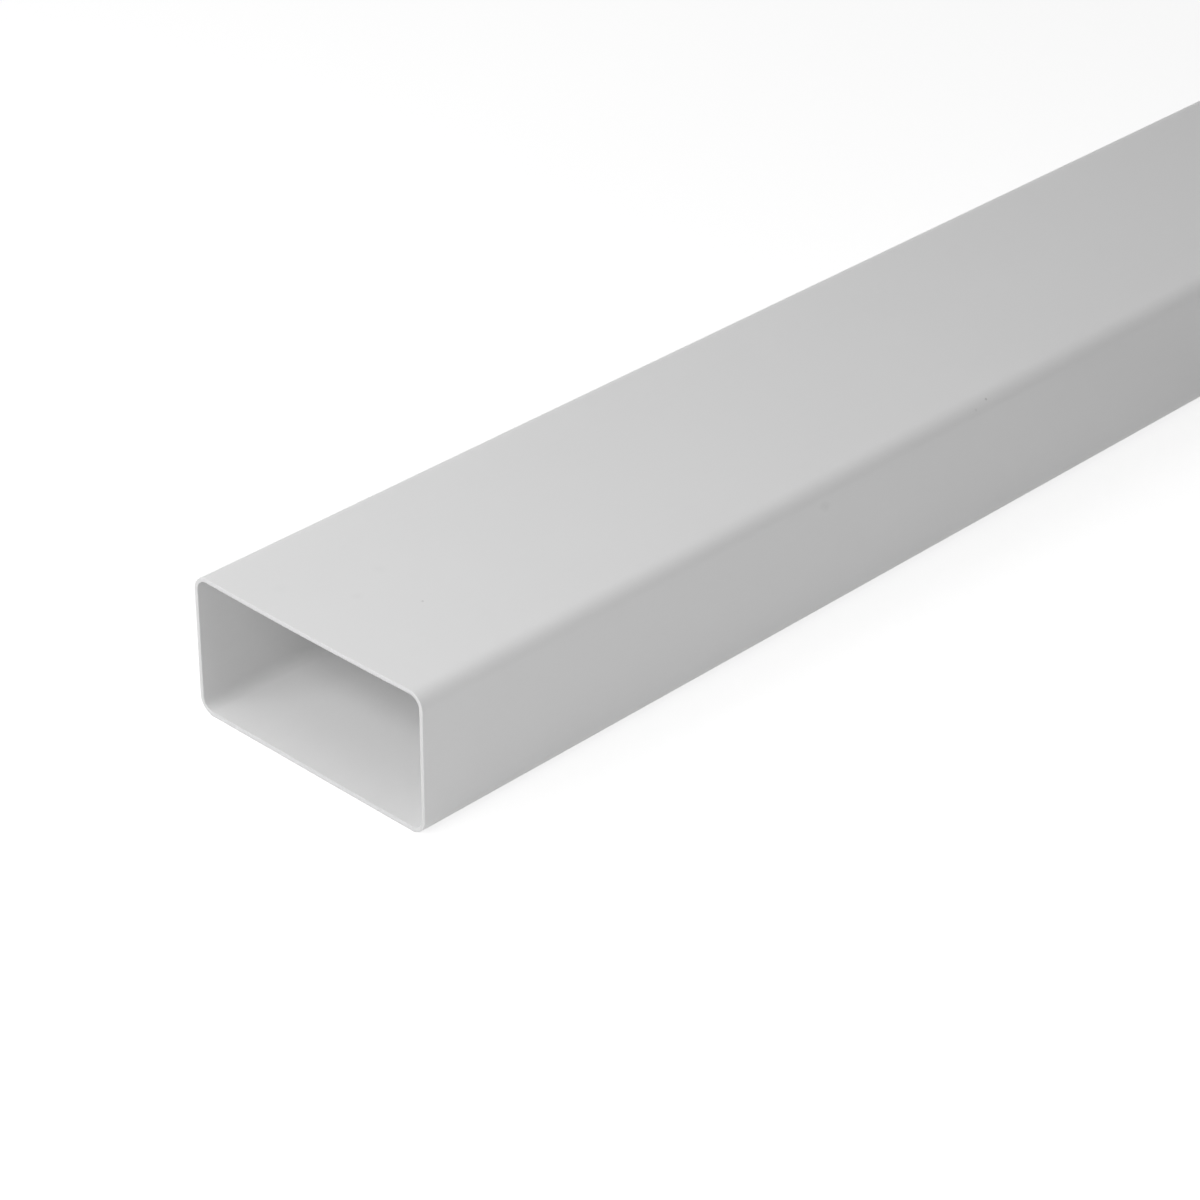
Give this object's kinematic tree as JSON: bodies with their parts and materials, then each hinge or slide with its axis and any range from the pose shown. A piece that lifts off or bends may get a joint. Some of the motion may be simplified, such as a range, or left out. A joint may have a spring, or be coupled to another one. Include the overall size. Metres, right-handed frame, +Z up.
{
  "type": "flat channel duct",
  "caption": "Straight flat rectangular ventilation duct, extruded in white rigid plastic with rounded corners, thin walls and open sawn ends, that carries air between push-on fittings.",
  "frame": {"origin": "centre of the underside, at mid length and mid width", "axes": "+X along the length, from one open end to the other; +Y across the width; +Z up through the wide walls"},
  "size_m": [1, 0.11, 0.054],
  "materials": {
    "white_pvc": "smooth satin white as extruded, with finely sawn ends"
  },
  "bodies": {
    "root": {"flat_channel_duct": "white_pvc"}
  },
  "joints": []
}
